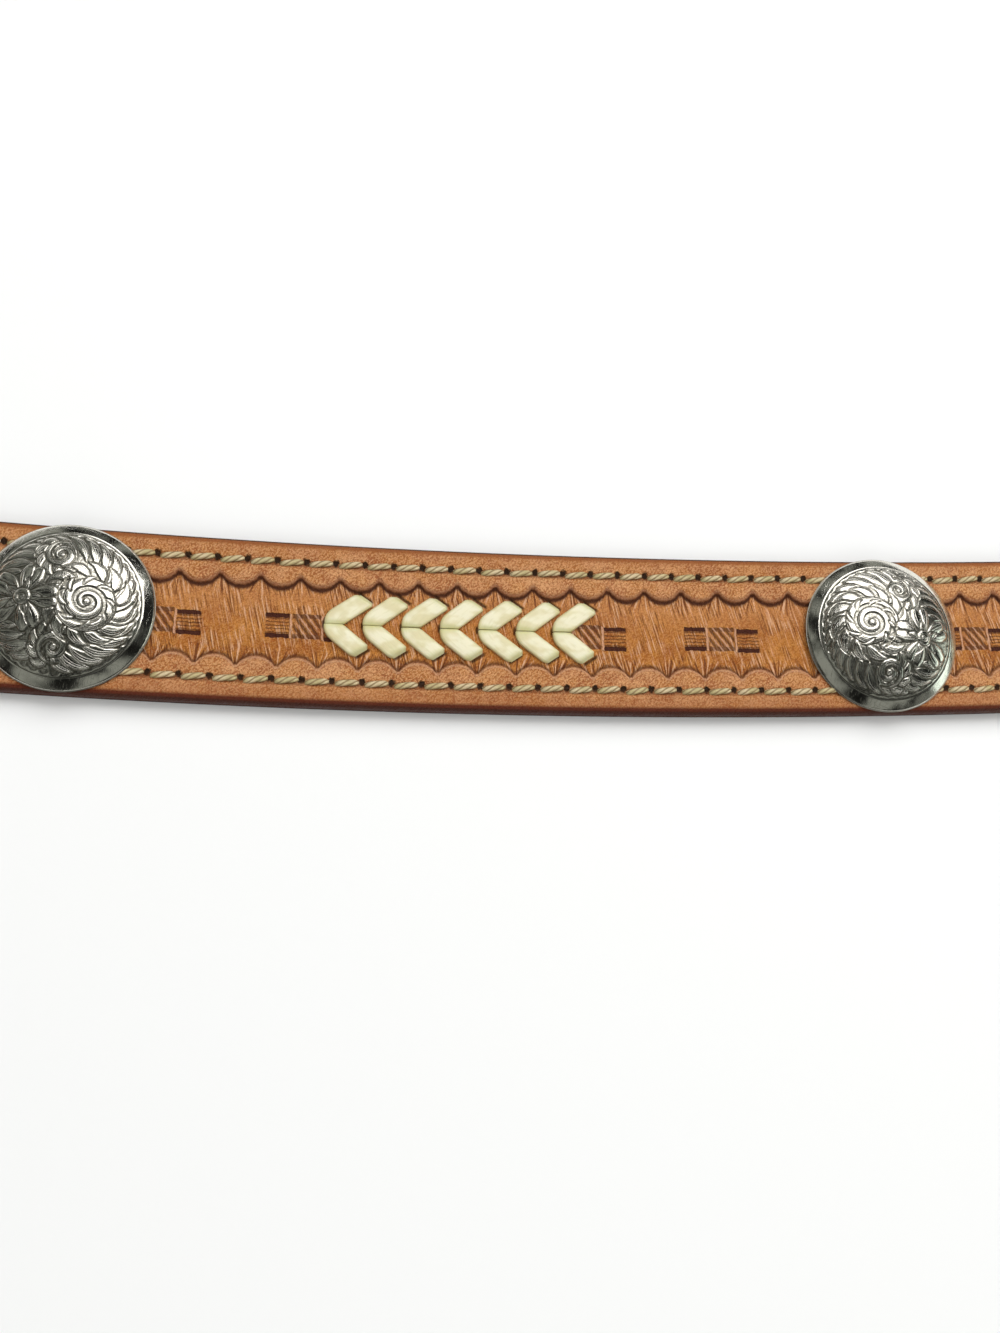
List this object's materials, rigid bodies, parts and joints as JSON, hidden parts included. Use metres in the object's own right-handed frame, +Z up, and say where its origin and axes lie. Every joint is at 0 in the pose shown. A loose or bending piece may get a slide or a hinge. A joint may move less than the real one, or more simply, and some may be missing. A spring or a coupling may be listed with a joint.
{
  "type": "concho belt",
  "caption": "Lined, tooled leather belt with domed engraved metal conchos, rawhide chevron lacing between them, edge stitching, a plate hook buckle and a punched, rounded tip.",
  "frame": {"origin": "middle of the bounding box, on the surface that the belt lies on", "axes": "+X along the belt from the buckle to the tip, +Y across it towards the inside of its gentle curve, +Z up, out of the tooled face"},
  "size_m": [1.0906, 0.108, 0.0121],
  "materials": {
    "strap_leather": "golden tan tooled leather, waxed, with darker brown in the tooling and on the burnished edges",
    "lining_leather": "smooth dark brown lining leather, matt, with burnished edges",
    "rawhide": "pale cream rawhide with yellow-green tints, slightly glossy",
    "waxed_thread": "khaki twisted thread, waxed",
    "concho_metal": "polished nickel silver with hand-engraved scrolls, slightly darkened in the cuts",
    "screw_metal": "plain nickel-plated steel, turned",
    "buckle_metal": "plain polished nickel silver with fine handling scratches"
  },
  "bodies": {
    "root": {"strap_face": "strap_leather", "strap_lining": "lining_leather", "lace_upper_1": "rawhide", "lace_upper_2": "rawhide", "lace_upper_3": "rawhide", "lace_upper_4": "rawhide", "lace_lower_1": "rawhide", "lace_lower_2": "rawhide", "lace_lower_3": "rawhide", "lace_lower_4": "rawhide", "concho_1": "concho_metal", "concho_2": "concho_metal", "concho_3": "concho_metal", "concho_4": "concho_metal", "concho_5": "concho_metal", "concho_screw_1": "screw_metal", "concho_screw_2": "screw_metal", "concho_screw_3": "screw_metal", "concho_screw_4": "screw_metal", "concho_screw_5": "screw_metal", "buckle": "buckle_metal"}
  },
  "joints": []
}
